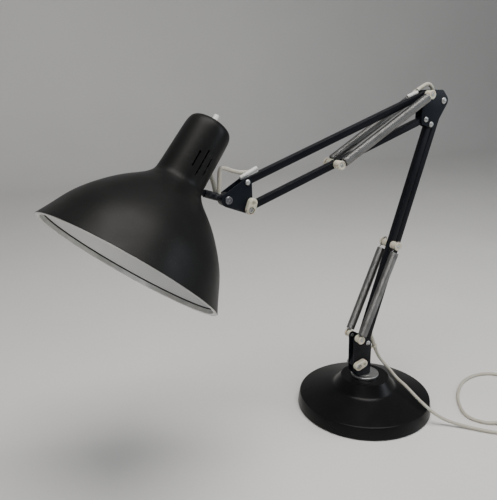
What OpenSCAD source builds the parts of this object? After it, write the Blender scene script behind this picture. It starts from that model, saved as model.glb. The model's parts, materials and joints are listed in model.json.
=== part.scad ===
// Architect desk lamp: a swivelling weighted base, two parallelogram arms with tension springs
// and a spun bell shade on a tilting stem. Millimetres, +Z up, arms in the plane y = 0,
// origin at the centre of the base's underside, lamp head towards -X.

/* [Base] */
// Radius of the base at the table
base_r = 95.5; // [80:0.5:110]
// Height of the base's upright rim
rim_h = 18.8; // [12:0.2:26]
// Radius at the foot of the raised hub
hub_foot_r = 44.3; // [35:0.1:55]
// Height of the raised hub
hub_top_z = 46.9; // [38:0.1:56]
// Radius of the hub's flat top
hub_top_r = 33.9; // [25:0.1:42]

/* [Arms] */
// Side of the square steel tube of the arms
bar_w = 8.5; // [7:0.1:12]
// Wall of the arm tube
bar_wall = 0.8; // [0.6:0.1:1.5]
// Lower arm, pivot to pivot
lower_arm = 346; // [250:1:420]
// Lean of the lower arm from upright, away from the head
lower_lean = 17.6; // [5:0.1:30]
// Upper arm, pivot to pivot
upper_arm = 278; // [200:1:360]
// Dip of the upper arm below level, towards the head
upper_dip = 19.4; // [0:0.1:40]
// Thickness of the bracket plates
plate_t = 1.5; // [1:0.1:3]
// Outside width across a pair of bracket plates
bracket_w = 13; // [12:0.2:18]

/* [Springs] */
// Outside diameter of the spring coils
spring_d = 12; // [8:0.5:16]
// Distance of the springs' centre plane from the arms' plane
spring_y = 14; // [12:0.5:18]
// Gap between a spring pin and the first turn of the coil
hook_reach = 6; // [5:0.5:12]

/* [Shade] */
// Length of the shade along its axis
shade_len = 189.2; // [150:0.1:220]
// Radius of the shade's mouth
mouth_r = 108.7; // [90:0.2:130]
// Lean of the shade's axis from upright
shade_lean = 39.8; // [0:0.1:80]
// Turn of the shade's axis out of the arms' plane, towards the front
shade_turn = 11.5; // [0:0.1:30]
// Rise of the tilting stem above level
stem_rise = 19.8; // [0:0.1:45]
// Thickness of the spun sheet
shade_t = 1; // [0.6:0.1:2]

/* [Cord] */
// Diameter of the mains cord
cord_d = 4.6; // [4:0.1:7]
// Diameter at the middle of the wound coil's turns
coil_d = 54; // [45:1:80]

/* [Hidden] */
$fn = 48;
hull_fn = 32;

plate_out = bracket_w / 2;
plate_in = plate_out - plate_t;
half_bar = bar_w / 2;
run_fit = 0.05;
pin_r = 2;
stud_r = 2.2;
bolt_r = 2.5;
open_fit = 0.35;
// Distance from the far pin to a lower spring's coil, long enough for its change of length
slack_reach = 9.5;

// Pivots as [x, z] in the arms' plane
K = [-21, 70];
R1 = K + [19, 30];
lower_dir = [sin(lower_lean), cos(lower_lean)];
P4 = K + lower_arm * lower_dir;
P2 = R1 + lower_arm * lower_dir;
P3 = P4 + [-9.5, 6.7];
P1 = P3 + [-1, 32];
upper_dir = [-cos(upper_dip), -sin(upper_dip)];
H1 = P1 + upper_arm * upper_dir;
H2 = P3 + upper_arm * upper_dir;
H3 = H2 + [-26, 13.5];
// Spring pins
S = K + [0, 42];
C = K + 178 * lower_dir;
D = P3 + 147 * upper_dir;

// Lamp head: the stem runs from the tilt bolt through the neck's wall to the shade's axis
stem_dir = [-cos(stem_rise), sin(stem_rise)];
stem_reach = 64.3;
meet = H3 + stem_reach * stem_dir;
// Distance from the neck's top to where the stem's line meets the shade's axis
meet_t = 85.3;
// Distance along the stem to the outside of the neck's wall
wall_reach = 33.4;
stem_r = 4.6;
spigot_r = 3.4;

// Shade outline from the neck's top: [distance along the axis, outer radius]
shade_profile = [[2, 10], [2.2, 17], [3.2, 21.2], [5.2, 24.2], [8.5, 26], [14, 27], [24, 27.5], [34, 27.8],
  [47.3, 28.1], [68, 28.7], [76, 29.1], [80, 29.7], [84, 31.3], [90.8, 36.6], [98, 44.6], [106, 54],
  [115, 63.2], [124.9, 72], [136, 80.8], [147.6, 88.7], [159, 94.8], [170.3, 99.9], [180, 104.3],
  [shade_len, mouth_r]];
// Vent slots: [distance from the neck's top, angle from the front, length]
vent_places = [[38.5, -3, 33], [44, -21, 22], [44.5, 14, 20]];
lip_w = 5.1;
lip_h = 5.5;

// Mains cord: where it leaves the strain relief, and its route over the base and the table
relief_top = [8.5, 0, 104];
relief_end = [18, 0, 82];
cord_r = cord_d / 2;
floor_z = cord_r + 0.1;
cord_route = [[18, 0, 82], [22.5, 0, 73], [27.5, -1, 65], [33, -4, 57.5], [38, -9, 50], [41.5, -16, 43],
  [42.5, -24, 39.5], [42.5, -33, 38.2], [42.5, -43, 36.3], [43, -54, 32.8], [43.5, -65, 29.4],
  [44.5, -75, 26.3], [47, -84, 22.4], [52.3, -90, 17.3], [58.8, -94.8, 12.2], [66.2, -100.6, 8.2],
  [75, -108.6, 5.2], [87, -120.4, 3.1], [102, -137, 2.4], [122, -153, 2.4], [153, -155, 2.4],
  [187, -137, 2.4], [218, -104, 2.4], [239, -67, 2.4], [239, -35, 2.4], [214, -20, 2.4],
  [177, -24, 2.4], [139, -48, 2.4], [113, -80, 2.4], [106, -101, 2.4], [113, -118, 2.4],
  [122, -126, 2.4], [134, -133, 4], [146, -141, 6.4], [157, -151, 7.1], [167, -162, 5.8],
  [173, -172, 3.4], [176.2, -178, 2.4]];
coil_centre = [208, -173];
coil_band = 14.2;
coil_h = 14;
// The end of the cord leaves the coil's top turn and runs straight into the plug
plug_cord_z = 11.6;
leave_turn = -48.6;
leave_dir = [-sin(leave_turn), cos(leave_turn)];
leave_point = coil_centre + 31.6 * [cos(leave_turn), sin(leave_turn)];
plug_face = 36;
plug_size = 50;
plug_h = 25;

// ---- Shared shapes ----

// Puts a shape drawn along +Z on an axis across the arms, running from y0 towards +Y
module across(p, y0) {
  translate([p[0], y0, p[1]])
    rotate([-90, 0, 0])
      children();
}

// Plain pin from y0 to y1 through the pivot p
module pin(p, r, y0, y1) {
  across(p, y0)
    cylinder(r = r, h = y1 - y0);
}

// Pin with a low round head on each end
module rivet(p, r, head_r, reach) {
  pin(p, r, -reach, reach);
  for (side = [-1, 1])
    across(p, side > 0 ? plate_out : -reach)
      cylinder(r1 = side > 0 ? head_r : head_r * 0.72, r2 = side > 0 ? head_r * 0.72 : head_r,
        h = reach - plate_out);
}

// Ring or bush around the pivot p on one side of the arms, from distance a to b
module bush(p, outer, inner, side, a, b) {
  y0 = side > 0 ? a : -b;
  difference() {
    pin(p, outer, y0, y0 + b - a);
    pin(p, inner, y0 - 1, y0 + b - a + 1);
  }
}

// Square tube between two pivots with rounded, bored ends
module bar(a, b, bore_a, bore_b) {
  run = b - a;
  difference() {
    translate([0, half_bar, 0])
      rotate([90, 0, 0])
        linear_extrude(bar_w)
          hull() {
            translate(a)
              circle(half_bar, $fn = hull_fn);
            translate(b)
              circle(half_bar, $fn = hull_fn);
          }
    translate([a[0], 0, a[1]])
      rotate([0, atan2(run[0], run[1]), 0])
        translate([0, 0, norm(run) / 2])
          cube([bar_w - 2 * bar_wall, bar_w - 2 * bar_wall, norm(run) + 3 * bar_w], center = true);
    pin(a, bore_a, -bar_w, bar_w);
    pin(b, bore_b, -bar_w, bar_w);
  }
}

// Flat plate in the arms' direction, from y0 to y0 + plate_t, hulled from [point, radius] rounds
module plate(rounds, y0) {
  translate([0, y0 + plate_t, 0])
    rotate([90, 0, 0])
      linear_extrude(plate_t)
        hull()
          for (c = rounds)
            translate(c[0])
              circle(c[1], $fn = hull_fn);
}

// Spring between two pins: closed coil, flat loop on the near pin, slack loop on the far pin if asked
module spring_coil(a, b, y, far_reach, far_loop) {
  run = b - a;
  long = norm(run);
  translate([a[0], y, a[1]])
    rotate([0, atan2(run[0], run[1]), 0]) {
      spring_loop(0, 0, hook_reach);
      difference() {
        translate([0, 0, hook_reach])
          cylinder(d = spring_d, h = long - hook_reach - far_reach);
        translate([0, 0, hook_reach + 1])
          cylinder(d = spring_d - 2.4, h = long - hook_reach - far_reach - 2);
      }
      if (far_loop)
        translate([0, 0, long])
          rotate([0, 180, 0])
            spring_loop(4, 3, far_reach);
    }
}

// Flat wire loop around a pin at the origin, reaching back and forward by the slack
module spring_loop(slack_out, slack_in, reach) {
  wire = 1.2;
  inner = stud_r + 0.5;
  translate([0, wire / 2, 0])
    rotate([90, 0, 0])
      linear_extrude(wire)
        difference() {
          hull() {
            translate([0, -slack_out])
              circle(inner + wire);
            translate([0, slack_in])
              circle(inner + wire);
          }
          hull() {
            translate([0, -slack_out])
              circle(inner);
            translate([0, slack_in])
              circle(inner);
          }
        }
  translate([-wire / 2, -wire / 2, slack_in + inner + wire / 2])
    cube([wire, wire, reach + 0.5 - slack_in - inner - wire / 2]);
}

// Places a shape drawn along +Z, with z = 0 at the neck's top, on the shade's axis
module on_shade_axis() {
  translate([meet[0], 0, meet[1]])
    rotate([0, shade_lean, 0])
      rotate([-shade_turn, 0, 0])
        rotate([0, 180, 0])
          translate([0, 0, -meet_t])
            children();
}

// Places a shape drawn along +Z on the stem's axis, starting at the tilt bolt
module on_stem_axis() {
  translate([H3[0], 0, H3[1]])
    rotate([0, -90 + stem_rise, 0])
      children();
}

// Round tube swept along a list of points
function tangent(p, i) =
  let (a = p[max(i - 1, 0)], b = p[min(i + 1, len(p) - 1)]) (b - a) / norm(b - a);
function side_dir(t, u) = let (w = u - t * (u * t)) w / norm(w);
function frames(p, i = 0, u = [0, 1, 0]) =
  i == len(p) ? [] :
    let (t = tangent(p, i), v = side_dir(t, u)) concat([[v, cross(t, v)]], frames(p, i + 1, v));

module swept_tube(p, r, sides) {
  f = frames(p, 0, abs(tangent(p, 0) * [0, 1, 0]) > 0.9 ? [1, 0, 0] : [0, 1, 0]);
  rings = len(p);
  points = [for (i = [0 : rings - 1], k = [0 : sides - 1])
    p[i] + r * (cos(360 * k / sides) * f[i][0] + sin(360 * k / sides) * f[i][1])];
  skin = [for (i = [0 : rings - 2], k = [0 : sides - 1])
    [(i + 1) * sides + k, (i + 1) * sides + (k + 1) % sides, i * sides + (k + 1) % sides, i * sides + k]];
  first = [for (k = [0 : sides - 1]) k];
  last = [for (k = [0 : sides - 1]) rings * sides - 1 - k];
  polyhedron(points = points, faces = concat([first], skin, [last]));
}

// ---- Base ----

module base_cover() {
  color([0.06, 0.06, 0.06])
    rotate_extrude($fn = 96)
      difference() {
        polygon([[0, 1], [base_r, 1], [base_r, 2.5], [93, rim_h - 0.6], [92.2, rim_h], [hub_foot_r, 32],
          [hub_top_r, hub_top_z - 0.8], [hub_top_r - 0.8, hub_top_z], [0, hub_top_z]]);
        polygon([[-1, 0], [base_r - 1.5, 0], [91.5, rim_h - 1.6], [hub_foot_r - 0.5, 30.4],
          [hub_top_r - 1.5, hub_top_z - 1.5], [-1, hub_top_z - 1.5]]);
        translate([-1, hub_top_z - 3])
          square([9, 6]);
      }
}

module base_weight() {
  color([0.2, 0.2, 0.21])
    rotate_extrude($fn = 96)
      polygon([[12, 2.4], [93, 2.4], [91, 16.2], [42, 16.2], [42, 20], [12, 20]]);
}

module base_pad() {
  color([0.05, 0.05, 0.05])
    cylinder(r = 93, h = 2.2, $fn = 96);
}

module pivot_bush() {
  color([0.6, 0.6, 0.58])
    difference() {
      union() {
        translate([0, 0, 16])
          cylinder(r = 7.9, h = 31);
        translate([0, 0, 20.2])
          cylinder(r = 30, h = 2);
        translate([0, 0, 43.2])
          cylinder(r = 12, h = 2);
      }
      translate([0, 0, 10])
        cylinder(r = 4 + run_fit, h = 50);
    }
}

module base_washer() {
  color([0.55, 0.56, 0.55])
    difference() {
      rotate_extrude()
        polygon([[0, 47.1], [19.2, 47.1], [19.8, 47.7], [19.8, 50.3], [19.2, 50.9], [0, 50.9]]);
      cylinder(r = 4.4, h = 60);
    }
}

// ---- Lower bracket and what is fixed to it ----

bracket_floor_z = 51.2;
bracket_right = R1[0] + 6.5;

module lower_bracket() {
  color([0.07, 0.07, 0.08])
    difference() {
      union() {
        for (y0 = [-plate_out, plate_in])
          plate([[S, 5.3], [R1, 5.8], [[-23.3, bracket_floor_z + 9], 2], [[-16, bracket_floor_z + 2], 2],
            [[bracket_right - 2, bracket_floor_z + 2], 2]], y0);
        translate([-17, -plate_out, bracket_floor_z])
          cube([bracket_right + 16, bracket_w, plate_t]);
        translate([bracket_right - plate_t, -plate_out, bracket_floor_z + 1])
          cube([plate_t, bracket_w, 40]);
      }
      pin(K, bolt_r + run_fit, -10, 10);
      pin(R1, pin_r + run_fit, -10, 10);
      pin(S, 1.6, -10, 10);
    }
}

module bracket_spindle() {
  color([0.5, 0.5, 0.5])
    translate([0, 0, 8])
      cylinder(r = 4, h = bracket_floor_z - 8);
}

module spindle_nut() {
  color([0.5, 0.5, 0.5])
    difference() {
      translate([0, 0, 8.6])
        cylinder(r = 8, h = 6, $fn = 6);
      translate([0, 0, 5])
        cylinder(r = 4.02, h = 20);
    }
}

module base_clamp_bolt() {
  color([0.4, 0.4, 0.42]) {
    pin(K, bolt_r, -12.2, 10.5);
    pin(K, 3.7, -13.6, -12.2);
    pin(K, 4.6, plate_out, 10.4, $fn = 6);
  }
}

module clamp_lever(p, angle, swing) {
  far = p + swing * [cos(angle), sin(angle)];
  difference() {
    translate([0, -plate_out - 0.3, 0])
      rotate([90, 0, 0])
        linear_extrude(7.5)
          hull() {
            translate(p)
              circle(5.7);
            translate(far)
              circle(5.4);
          }
    pin(p, bolt_r + run_fit, -20, 0);
    pin(p, 4.1, -20, -plate_out - 5.4);
    pin(far, 3.2, -20, -plate_out - 7);
  }
}

module base_clamp_lever() {
  color([0.85, 0.82, 0.7])
    clamp_lever(K, 18, 9.5);
}

module lower_stay_rivet() {
  color([0.45, 0.45, 0.47])
    rivet(R1, pin_r, 3.6, 8.6);
}

// Studs riveted in the plates, one each side, clear of the bar that swings between them
module lower_studs() {
  color([0.5, 0.5, 0.52])
    for (side = [-1, 1]) {
      across(S, side > 0 ? plate_in - 0.35 : -spring_y - 3)
        cylinder(r = 1.6, h = spring_y + 3 - plate_in + 0.35);
      across(S, side > 0 ? plate_out : -spring_y - 3)
        cylinder(r = stud_r, h = spring_y + 3 - plate_out);
      across(S, side > 0 ? plate_in - 0.35 : -plate_in)
        cylinder(r = 2.6, h = 0.35);
    }
}

// Cream bushes inside the spring loops and caps outside them
module spring_bushes(p, first_face) {
  color([0.86, 0.83, 0.74])
    for (side = [-1, 1]) {
      bush(p, 5.3, stud_r, side, first_face, spring_y - 0.9);
      bush(p, 5.8, stud_r, side, spring_y + 0.9, spring_y + 2.9);
    }
}

module lower_stud_bushes() {
  spring_bushes(S, plate_out);
}

// ---- Lower arm ----

module lower_main_bar() {
  color([0.08, 0.08, 0.09])
    difference() {
      bar(K, P4, bolt_r + run_fit, pin_r + run_fit);
      pin(C, stud_r, -bar_w, bar_w);
    }
}

module lower_cross_pin() {
  color([0.5, 0.5, 0.52])
    pin(C, stud_r, -spring_y - 3, spring_y + 3);
}

module lower_cross_bushes() {
  spring_bushes(C, half_bar);
}

// Stay, with a slot low in its right side where the flex comes out
module lower_stay_bar() {
  color([0.08, 0.08, 0.09])
    difference() {
      bar(R1, P2, pin_r + run_fit, pin_r + open_fit);
      translate([R1[0], 0, R1[1]])
        rotate([0, lower_lean, 0])
          translate([1, -2.6, 8])
            cube([6, 5.2, 12]);
    }
}

module lower_spring_front() {
  color([0.38, 0.38, 0.4])
    spring_coil(S, C, -spring_y, slack_reach, true);
}

module lower_spring_back() {
  color([0.38, 0.38, 0.4])
    spring_coil(S, C, spring_y, slack_reach, true);
}

// ---- Elbow ----

module elbow_plate(y0) {
  color([0.16, 0.18, 0.21])
    difference() {
      plate([[P1, 5.5], [P1 + [25, 0], 5.5], [P2 + [-1, 0], 8.5], [P4 + [1.4, 4.2], 9], [P3, 7.5]], y0);
      for (p = [P2, P3, P4])
        pin(p, pin_r, -10, 10);
      pin(P1, stud_r, -10, 10);
    }
}

module elbow_plate_front() {
  elbow_plate(-plate_out);
}

module elbow_plate_back() {
  elbow_plate(plate_in);
}

module elbow_main_rivet() {
  color([0.45, 0.45, 0.47])
    rivet(P4, pin_r, 3.6, 8.4);
}

module elbow_stay_rivet() {
  color([0.45, 0.45, 0.47])
    rivet(P2, pin_r, 4.2, 8.8);
}

module elbow_lower_rivet() {
  color([0.45, 0.45, 0.47])
    rivet(P3, pin_r, 3.6, 8.4);
}

module elbow_spring_pin() {
  color([0.5, 0.5, 0.52])
    pin(P1, stud_r, -spring_y - 3, spring_y + 3);
}

module elbow_bushes() {
  spring_bushes(P1, plate_out);
}

// ---- Upper arm ----

upper_up = [-upper_dir[1], upper_dir[0]] * -1;
sleeve_r = 2.5;
// Radius of the flex between the arms and the head
flex_r = 2.3;

module upper_top_bar() {
  color([0.08, 0.08, 0.09])
    bar(P1, H1, stud_r + run_fit, pin_r + run_fit);
}

// Sleeves on top of the bar that guide the flex at both ends
module sleeve(along, long) {
  at = H1 - along * upper_dir + (half_bar + sleeve_r) * upper_up;
  translate([at[0], 0, at[1]])
    rotate([0, atan2(-upper_dir[0], -upper_dir[1]), 0])
      cylinder(r = sleeve_r, h = long);
}

// Sleeve at the head end: it rises from the bar's end on a thin web
sleeve_rise = 25;
sleeve_foot = H1 + 4.6 * upper_dir + (half_bar + sleeve_r + 0.1) * upper_up;
sleeve_tip = sleeve_foot + 24 * [cos(sleeve_rise), sin(sleeve_rise)];

function bar_top(p) = H1 + ((p - H1) * upper_dir) * upper_dir + half_bar * upper_up;

module lifted_sleeve() {
  translate([sleeve_foot[0], 0, sleeve_foot[1]])
    rotate([0, 90 - sleeve_rise, 0])
      cylinder(r = sleeve_r, h = 24);
  rotate([90, 0, 0])
    linear_extrude(2, center = true)
      polygon([sleeve_foot, sleeve_tip, bar_top(sleeve_tip), bar_top(sleeve_foot)]);
}

module upper_cord_sleeves() {
  color([0.8, 0.8, 0.76]) {
    lifted_sleeve();
    sleeve(upper_arm - 27, 17);
  }
}

module upper_lower_bar() {
  color([0.08, 0.08, 0.09])
    difference() {
      bar(P3, H2, pin_r + run_fit, bolt_r + open_fit);
      pin(D, stud_r, -bar_w, bar_w);
    }
}

module upper_cross_pin() {
  color([0.5, 0.5, 0.52])
    pin(D, stud_r, -spring_y - 3, spring_y + 3);
}

module upper_cross_bushes() {
  spring_bushes(D, half_bar);
}

module upper_spring_front() {
  color([0.38, 0.38, 0.4])
    spring_coil(P1, D, -spring_y, hook_reach, false);
}

module upper_spring_back() {
  color([0.38, 0.38, 0.4])
    spring_coil(P1, D, spring_y, hook_reach, false);
}

// Hook that the far end of an upper spring draws on, a wide loop around the cross pin
module upper_hook(y) {
  run = P1 - D;
  wire = 1.2;
  inner = stud_r + 3.9;
  color([0.38, 0.38, 0.4])
    translate([D[0], y, D[1]])
      rotate([0, atan2(run[0], run[1]), 0])
        rotate([90, 0, 0])
          difference() {
            cylinder(r = hook_reach + wire, h = wire, center = true);
            cylinder(r = inner, h = 2 * wire, center = true);
            translate([-10, hook_reach, -wire])
              cube([20, 5, 2 * wire]);
          }
}

module upper_hook_front() {
  upper_hook(-spring_y);
}

module upper_hook_back() {
  upper_hook(spring_y);
}

// ---- Head bracket and stem ----

module head_plate(y0) {
  color([0.1, 0.1, 0.12])
    difference() {
      plate([[H1, 5.5], [H2, 5.5], [H3, 8.5]], y0);
      pin(H1, pin_r, -10, 10);
      pin(H2, bolt_r, -10, 10);
      pin(H3, bolt_r, -10, 10);
    }
}

module head_plate_front() {
  head_plate(-plate_out);
}

module head_plate_back() {
  head_plate(plate_in);
}

module head_top_rivet() {
  color([0.45, 0.45, 0.47])
    rivet(H1, pin_r, 3.4, 8.6);
}

module head_tilt_bolt() {
  color([0.4, 0.4, 0.42]) {
    pin(H3, bolt_r, -8.6, 10.4);
    pin(H3, 4.6, -8.8, -plate_out);
    pin(H3, 4.6, plate_out, 9.8, $fn = 6);
  }
}

module head_clamp_bolt() {
  color([0.4, 0.4, 0.42]) {
    pin(H2, bolt_r, -12.2, 10.5);
    pin(H2, 3.7, -13.6, -12.2);
    pin(H2, 4.6, plate_out, 10.4, $fn = 6);
  }
}

module head_clamp_lever() {
  color([0.85, 0.82, 0.7])
    clamp_lever(H2, 72, 9);
}

module head_stem() {
  color([0.09, 0.09, 0.1])
    difference() {
      union() {
        across(H3, -half_bar - 0.3)
          cylinder(r = 8.3, h = bar_w + 0.6);
        on_stem_axis() {
          translate([0, 0, 1])
            cylinder(r = stem_r, h = wall_reach - 4);
          translate([0, 0, wall_reach - 4])
            cylinder(r = spigot_r, h = 12);
          translate([0, 0, wall_reach + 7])
            cylinder(r = 5.6, h = 2);
        }
      }
      pin(H3, bolt_r + run_fit, -10, 10);
    }
}

// ---- Shade and lamp ----

module shade_skin(inset, from, to) {
  rows = [for (p = shade_profile) if (p[0] >= from && p[0] <= to) p];
  wall = [for (p = rows) [p[1] - inset, p[0] + inset * (p[0] < 5 ? 1 : 0)]];
  polygon(concat([[0, rows[0][0] + inset]], wall, [[0, rows[len(rows) - 1][0]]]));
}

module shade() {
  color([0.06, 0.06, 0.065])
    difference() {
      on_shade_axis()
        rotate_extrude($fn = 96)
          difference() {
            shade_skin(0, 0, shade_len);
            shade_skin(shade_t, 0, shade_len);
            translate([-1, shade_len - 0.5])
              square([mouth_r - shade_t + 1, 2]);
            translate([-1, -2])
              square([6.2, 6]);
          }
      on_stem_axis()
        translate([0, 0, wall_reach - 4])
          cylinder(r = spigot_r + 0.6, h = 12);
      for (v = vent_places, turn = [270 + v[1], 90 - v[1]])
        on_shade_axis()
          rotate([0, 0, turn])
            translate([15, -1, v[0]])
              cube([25, 2, v[2]]);
      translate(neck_cord_path[0])
        rotate([0, neck_exit_tilt, 0])
          translate([0, 0, -16])
            cylinder(r = 3, h = 22);
    }
}

// Pale rolled lip: an upright band inside the mouth and a flat edge around it
module shade_rim() {
  inside = mouth_r - lip_w;
  color([0.75, 0.75, 0.73])
    on_shade_axis()
      rotate_extrude($fn = 96)
        polygon([[inside, shade_len + 0.7 - lip_h], [inside + 1.6, shade_len + 0.7 - lip_h],
          [inside + 3.7, shade_len - 0.4], [inside + 3.7, shade_len + 0.1],
          [mouth_r - 0.4, shade_len + 0.1], [mouth_r - 0.4, shade_len + 0.7], [inside, shade_len + 0.7]]);
}

// Wedge spacer on the swivel spigot, shaped to the inside of the neck's wall
module stem_nut() {
  color([0.5, 0.5, 0.5])
    intersection() {
      on_stem_axis()
        translate([0, 0, wall_reach - 2])
          difference() {
            cylinder(r = 5.5, h = 8.6);
            translate([0, 0, -1])
              cylinder(r = spigot_r + run_fit, h = 12);
          }
      on_shade_axis()
        cylinder(r = 27.3, h = 110);
    }
}

module switch_housing() {
  color([0.85, 0.84, 0.8])
    on_shade_axis()
      difference() {
        union() {
          translate([0, 0, 4.1])
            cylinder(r = 13, h = 6);
          translate([0, 0, shade_t + 2.05])
            cylinder(r = 6.8, h = 1.5);
          translate([0, 0, 0.4])
            cylinder(r = 5, h = 4);
        }
        translate([0, 0, -4])
          cylinder(r = 3.55, h = 11);
      }
}

module switch_button() {
  color([0.92, 0.92, 0.9])
    on_shade_axis()
      rotate_extrude()
        polygon([[0, -11], [2.4, -11], [3.2, -10.4], [3.5, -9], [3.5, 3.2], [0, 3.2]]);
}

module lamp_holder() {
  color([0.05, 0.05, 0.05])
    on_shade_axis()
      difference() {
        union() {
          translate([0, 0, 10.3])
            cylinder(r = 15, h = 9);
          translate([0, 0, 44])
            cylinder(r = 19, h = 22);
          translate([0, 0, 19])
            cylinder(r = 13, h = 26);
        }
        translate([0, 0, 48])
          cylinder(r = 11.4, h = 30);
      }
}

module bulb_cap() {
  color([0.7, 0.66, 0.5])
    on_shade_axis()
      translate([0, 0, 50])
        cylinder(r = 11.2, h = 30);
}

module bulb() {
  color([0.93, 0.93, 0.9])
    on_shade_axis()
      rotate_extrude()
        polygon(concat([[0, 80], [12, 80], [13.5, 86], [17.5, 95], [24, 106]],
          [for (a = [-35 : 10 : 85]) [29 * cos(a), 123 + 29 * sin(a)]], [[0, 152]]));
}

// ---- Flex between the arms ----

module elbow_cord() {
  color([0.85, 0.84, 0.78])
    swept_tube([[61.2, 0, 444], [64.5, 0, 445.6], [68, 0, 447.4], [72.4, 0, 449.6], [76.5, 0, 451.2],
      [80.5, 0, 451.1], [84.4, 0, 448.8], [87.2, 0, 445], [88.4, 0, 440], [88.6, 0, 434]], flex_r, 8);
}

module head_cord() {
  color([0.85, 0.84, 0.78])
    swept_tube([[-222.9, 0, 337.2], [-222.7, 0, 341], [-222.4, 0, 347], [-222, 0, 353],
      [-221.6, 0, 358.6], [-220.9, 0, 362], [-219, 0, 364.4], [-213, 1, 363.1], [-206.9, 2.2, 360.7],
      [-201, 3.6, 358.7], [-195, 4.8, 357], [-189.4, 5.3, 356.2], [-183.9, 5.3, 356],
      [-179.4, 5.3, 356.8]], flex_r, 8);
}

// Flex from the back of the neck down behind the stem
neck_cord_path = [[-232.6, 9.2, 364.5], [-228.4, 8.9, 354], [-226, 8.5, 346], [-224.8, 7.9, 339],
  [-224.2, 6.8, 333.8]];
neck_exit_tilt = -24;

module neck_cord() {
  color([0.85, 0.84, 0.78])
    swept_tube(neck_cord_path, flex_r, 8);
}

// ---- Mains cord ----

module base_cord() {
  color([0.85, 0.84, 0.78])
    swept_tube([[3.2, 0, 116.4], [5.6, 0, 113.9], [6.8, 0, 110.9], [7.3, 0, 108.2], [7.75, 0, 105.9],
      [8.42, 0, 104.18]], 2, 8);
}

// Places a shape drawn along +Z on the strain relief's axis
relief_run = relief_end - relief_top;
module on_relief() {
  translate(relief_top)
    rotate([0, 180 - atan2(relief_run[0], -relief_run[2]), 0])
      children();
}

// Thin ring around the relief with a tab to the bracket's back
module cord_clip() {
  color([0.85, 0.82, 0.7])
    difference() {
      union() {
        on_relief()
          translate([0, 0, 15])
            cylinder(r = 4, h = 2.4);
        translate([bracket_right, -2, 86.9])
          cube([7.4, 4, 1.4]);
      }
      on_relief()
        cylinder(r = 2.9, h = 40);
    }
}

module cord_relief() {
  color([0.85, 0.84, 0.78])
    on_relief()
      cylinder(r1 = 3.1, r2 = cord_r + 0.2, h = norm(relief_run));
}

module mains_cord() {
  color([0.85, 0.84, 0.78])
    swept_tube(cord_route, cord_r, 8);
}

// Puts a shape drawn with its cord entry at the origin, pointing along +X, at the plug's place
module at_plug() {
  translate([leave_point[0], leave_point[1], 0])
    rotate([0, 0, leave_turn + 90])
      translate([plug_face, 0, 0])
        children();
}

// Wound coil, with its last stretch running out to the plug
module cord_coil() {
  color([0.85, 0.84, 0.78]) {
    translate([coil_centre[0], coil_centre[1], 0])
      rotate_extrude()
        translate([coil_d / 2 - coil_band / 2, 0.1])
          square([coil_band, coil_h]);
    at_plug()
      translate([-plug_face, 0, plug_cord_z])
        rotate([0, 90, 0])
          cylinder(r = cord_r, h = plug_face);
  }
}

module plug_body() {
  color([0.9, 0.9, 0.87])
    at_plug()
      translate([plug_size / 2, 0, 0.1])
        linear_extrude(plug_h)
          offset(6)
            square(plug_size - 12, center = true);
}

module plug_pins() {
  color([0.75, 0.62, 0.3])
    at_plug()
      translate([plug_size / 2, 0, plug_h + 0.1])
        for (q = [[13, 0, 4, 8, 22.5], [-9, -11, 6.3, 4, 17.7], [-9, 11, 6.3, 4, 17.7]])
          translate([q[0], q[1], q[4] / 2])
            cube([q[3], q[2], q[4]], center = true);
}

base_cover();
base_weight();
base_pad();
pivot_bush();
base_washer();
lower_bracket();
bracket_spindle();
spindle_nut();
base_clamp_bolt();
base_clamp_lever();
lower_stay_rivet();
lower_studs();
lower_stud_bushes();
lower_main_bar();
lower_cross_pin();
lower_cross_bushes();
lower_stay_bar();
lower_spring_front();
lower_spring_back();
elbow_plate_front();
elbow_plate_back();
elbow_main_rivet();
elbow_stay_rivet();
elbow_lower_rivet();
elbow_spring_pin();
elbow_bushes();
upper_top_bar();
upper_cord_sleeves();
upper_lower_bar();
upper_cross_pin();
upper_cross_bushes();
upper_spring_front();
upper_spring_back();
upper_hook_front();
upper_hook_back();
head_plate_front();
head_plate_back();
head_top_rivet();
head_tilt_bolt();
head_clamp_bolt();
head_clamp_lever();
head_stem();
shade();
shade_rim();
stem_nut();
switch_housing();
switch_button();
lamp_holder();
bulb_cap();
bulb();
elbow_cord();
head_cord();
neck_cord();
base_cord();
cord_clip();
cord_relief();
mains_cord();
cord_coil();
plug_body();
plug_pins();
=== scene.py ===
"""Looks of the architect desk lamp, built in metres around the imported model."""

import json
import math

import bmesh
import bpy
from mathutils import Matrix, Vector


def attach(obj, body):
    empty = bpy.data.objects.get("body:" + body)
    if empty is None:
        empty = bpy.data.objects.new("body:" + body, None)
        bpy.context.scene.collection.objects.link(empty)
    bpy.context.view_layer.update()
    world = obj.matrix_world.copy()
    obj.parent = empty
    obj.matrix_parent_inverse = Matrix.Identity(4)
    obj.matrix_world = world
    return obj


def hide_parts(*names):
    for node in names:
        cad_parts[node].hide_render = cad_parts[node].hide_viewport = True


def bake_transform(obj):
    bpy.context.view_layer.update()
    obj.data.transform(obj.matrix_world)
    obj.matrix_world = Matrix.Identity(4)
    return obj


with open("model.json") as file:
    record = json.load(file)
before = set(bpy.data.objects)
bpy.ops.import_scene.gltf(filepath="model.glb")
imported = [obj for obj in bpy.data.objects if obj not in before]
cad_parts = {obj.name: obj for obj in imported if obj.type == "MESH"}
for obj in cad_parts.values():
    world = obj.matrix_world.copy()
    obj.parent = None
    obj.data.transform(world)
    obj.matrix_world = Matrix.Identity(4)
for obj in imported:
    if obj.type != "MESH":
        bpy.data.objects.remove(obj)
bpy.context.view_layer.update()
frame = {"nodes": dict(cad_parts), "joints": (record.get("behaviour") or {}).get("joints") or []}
MM = 0.001


# ---------------------------------------------------------------- pivots

def plane(x, z, y=0.0):
    """Point in the arms' plane, given in millimetres."""
    return Vector((x, y, z)) * MM


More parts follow.
